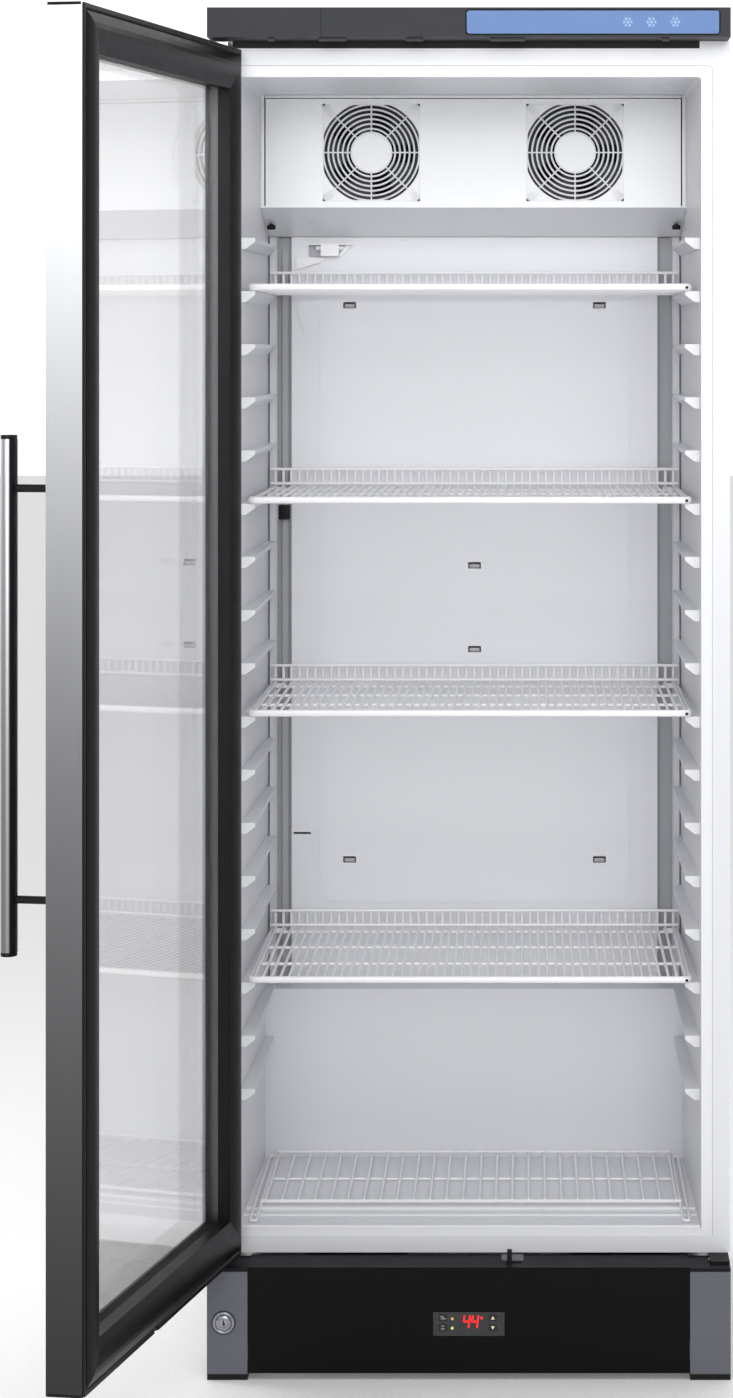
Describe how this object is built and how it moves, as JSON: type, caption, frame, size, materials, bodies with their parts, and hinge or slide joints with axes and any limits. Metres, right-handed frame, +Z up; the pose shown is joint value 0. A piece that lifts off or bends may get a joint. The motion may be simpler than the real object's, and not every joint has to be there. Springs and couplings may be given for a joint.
{
  "type": "reach-in refrigerator",
  "caption": "Upright reach-in refrigerator with one hinged glass door, fan-cooled cold room, sliding wire shelves, lock and a digital controller in its plinth.",
  "frame": {"origin": "on the floor, under the middle of the cabinet's footprint", "axes": "+X to the right seen from the front, +Y to the back, +Z up"},
  "size_m": [0.7577, 1.1476, 1.5596],
  "materials": {
    "white_paint": "satin",
    "white_liner": "satin",
    "foam": "matte",
    "dark_grey_plastic": "satin",
    "blue_panel": "satin",
    "black_plastic": "satin",
    "white_plastic": "satin",
    "satin_aluminium": "satin",
    "clear_glass": "polished",
    "black_rubber": "matte",
    "spacer_metal": "satin",
    "zinc_steel": "satin",
    "white_wire": "satin",
    "grey_plastic": "satin",
    "coil_aluminium": "satin",
    "black_enamel": "satin",
    "copper_pipe": "satin",
    "smoked_window": "gloss",
    "key_black": "satin",
    "chrome_lock": "polished",
    "lamp_diffuser": "satin",
    "nylon_bush": "satin"
  },
  "bodies": {
    "cabinet": {"outer_shell": "white_paint", "inner_liner": "white_liner", "foam_insulation": "foam", "header_fascia": "dark_grey_plastic", "header_badge": "blue_panel", "header_trim_strip": "black_plastic", "corner_blocks": "white_plastic", "header_clips": "zinc_steel", "evaporator_cover": "white_plastic", "fan_grilles": "white_plastic", "evaporator_fan_motors": "zinc_steel", "evaporator_coil": "coil_aluminium", "drip_tray": "white_plastic", "thumb_screws": "black_plastic", "duct_panel": "white_paint", "side_channels": "zinc_steel", "lamp_strip": "lamp_diffuser", "probe_holder": "white_plastic", "bottom_rack": "white_wire", "hinge_brackets": "zinc_steel", "plinth_panel": "black_plastic", "plinth_ledge": "dark_grey_plastic", "plinth_pillars": "grey_plastic", "pillar_caps": "black_plastic", "front_feet": "black_rubber", "controller_housing": "black_plastic", "display_window": "smoked_window", "lock_fittings": "chrome_lock", "base_tray": "zinc_steel", "compressor": "black_enamel", "condenser": "black_enamel", "condenser_fan_motor": "black_enamel", "refrigerant_pipes": "copper_pipe", "water_tray": "black_plastic", "rear_grille": "black_enamel", "power_inlet": "black_plastic"},
    "door": {"door_stiles": "satin_aluminium", "door_rails": "satin_aluminium", "hinge_bushes": "nylon_bush", "door_inner_frame": "black_plastic", "door_gasket": "black_rubber", "glass_outer": "clear_glass", "glass_inner": "clear_glass", "glass_spacer": "spacer_metal", "handle_bar": "satin_aluminium", "handle_mounts": "black_plastic"},
    "shelf_1": {"shelf_1": "white_wire"},
    "shelf_2": {"shelf_2": "white_wire"},
    "shelf_3": {"shelf_3": "white_wire"},
    "shelf_4": {"shelf_4": "white_wire"},
    "evaporator_fan_left": {"evaporator_fan_left": "black_plastic"},
    "evaporator_fan_right": {"evaporator_fan_right": "black_plastic"},
    "condenser_fan": {"condenser_fan": "black_plastic"},
    "lock_plug": {"lock_plug": "chrome_lock"},
    "latch_rod": {"latch_rod": "black_plastic"},
    "key_up": {"key_up": "key_black"},
    "key_down": {"key_down": "key_black"},
    "key_set": {"key_set": "key_black"},
    "key_defrost": {"key_defrost": "key_black"},
    "rear_rollers": {"rear_rollers": "black_plastic"}
  },
  "joints": [
    {"name": "door_hinge", "type": "hinge", "parent": "cabinet", "child": "door", "pos_m": [-0.2893, -0.2708, 0.825], "axis": [0, 0, -1], "range_deg": [-100.75, 14.25]},
    {"name": "shelf_1_slide", "type": "slide", "parent": "cabinet", "child": "shelf_1", "axis": [0, -1, 0], "range_m": [0, 0.3]},
    {"name": "shelf_2_slide", "type": "slide", "parent": "cabinet", "child": "shelf_2", "axis": [0, -1, 0], "range_m": [0, 0.3]},
    {"name": "shelf_3_slide", "type": "slide", "parent": "cabinet", "child": "shelf_3", "axis": [0, -1, 0], "range_m": [0, 0.3]},
    {"name": "shelf_4_slide", "type": "slide", "parent": "cabinet", "child": "shelf_4", "axis": [0, -1, 0], "range_m": [0, 0.3]},
    {"name": "evaporator_fan_left_spin", "type": "hinge", "parent": "cabinet", "child": "evaporator_fan_left", "pos_m": [-0.1256, 0.0835, 1.4138], "axis": [0, -1, 0], "continuous": true},
    {"name": "evaporator_fan_right_spin", "type": "hinge", "parent": "cabinet", "child": "evaporator_fan_right", "pos_m": [0.1256, 0.0835, 1.4138], "axis": [0, -1, 0], "continuous": true},
    {"name": "condenser_fan_spin", "type": "hinge", "parent": "cabinet", "child": "condenser_fan", "pos_m": [0.095, 0.23625, 0.15], "axis": [1, 0, 0], "continuous": true},
    {"name": "lock_turn", "type": "hinge", "parent": "cabinet", "child": "lock_plug", "pos_m": [-0.2786, -0.29, 0.0656], "axis": [0, 1, 0], "range_deg": [0, 90]},
    {"name": "latch_slide", "type": "slide", "parent": "cabinet", "child": "latch_rod", "axis": [1, 0, 0], "range_m": [0, 0.01]},
    {"name": "key_up_press", "type": "slide", "parent": "cabinet", "child": "key_up", "axis": [0, 1, 0], "range_m": [0, 0.0008], "stiffness_N_per_m": 400},
    {"name": "key_down_press", "type": "slide", "parent": "cabinet", "child": "key_down", "axis": [0, 1, 0], "range_m": [0, 0.0008], "stiffness_N_per_m": 400},
    {"name": "key_set_press", "type": "slide", "parent": "cabinet", "child": "key_set", "axis": [0, 1, 0], "range_m": [0, 0.0008], "stiffness_N_per_m": 400},
    {"name": "key_defrost_press", "type": "slide", "parent": "cabinet", "child": "key_defrost", "axis": [0, 1, 0], "range_m": [0, 0.0008], "stiffness_N_per_m": 400},
    {"name": "roller_spin", "type": "hinge", "parent": "cabinet", "child": "rear_rollers", "pos_m": [0, 0.262, 0.0125], "axis": [1, 0, 0], "continuous": true}
  ],
  "couplings": [
    {"joint": "lock_turn", "follows": "latch_slide", "rad_per_m": 157.08}
  ]
}
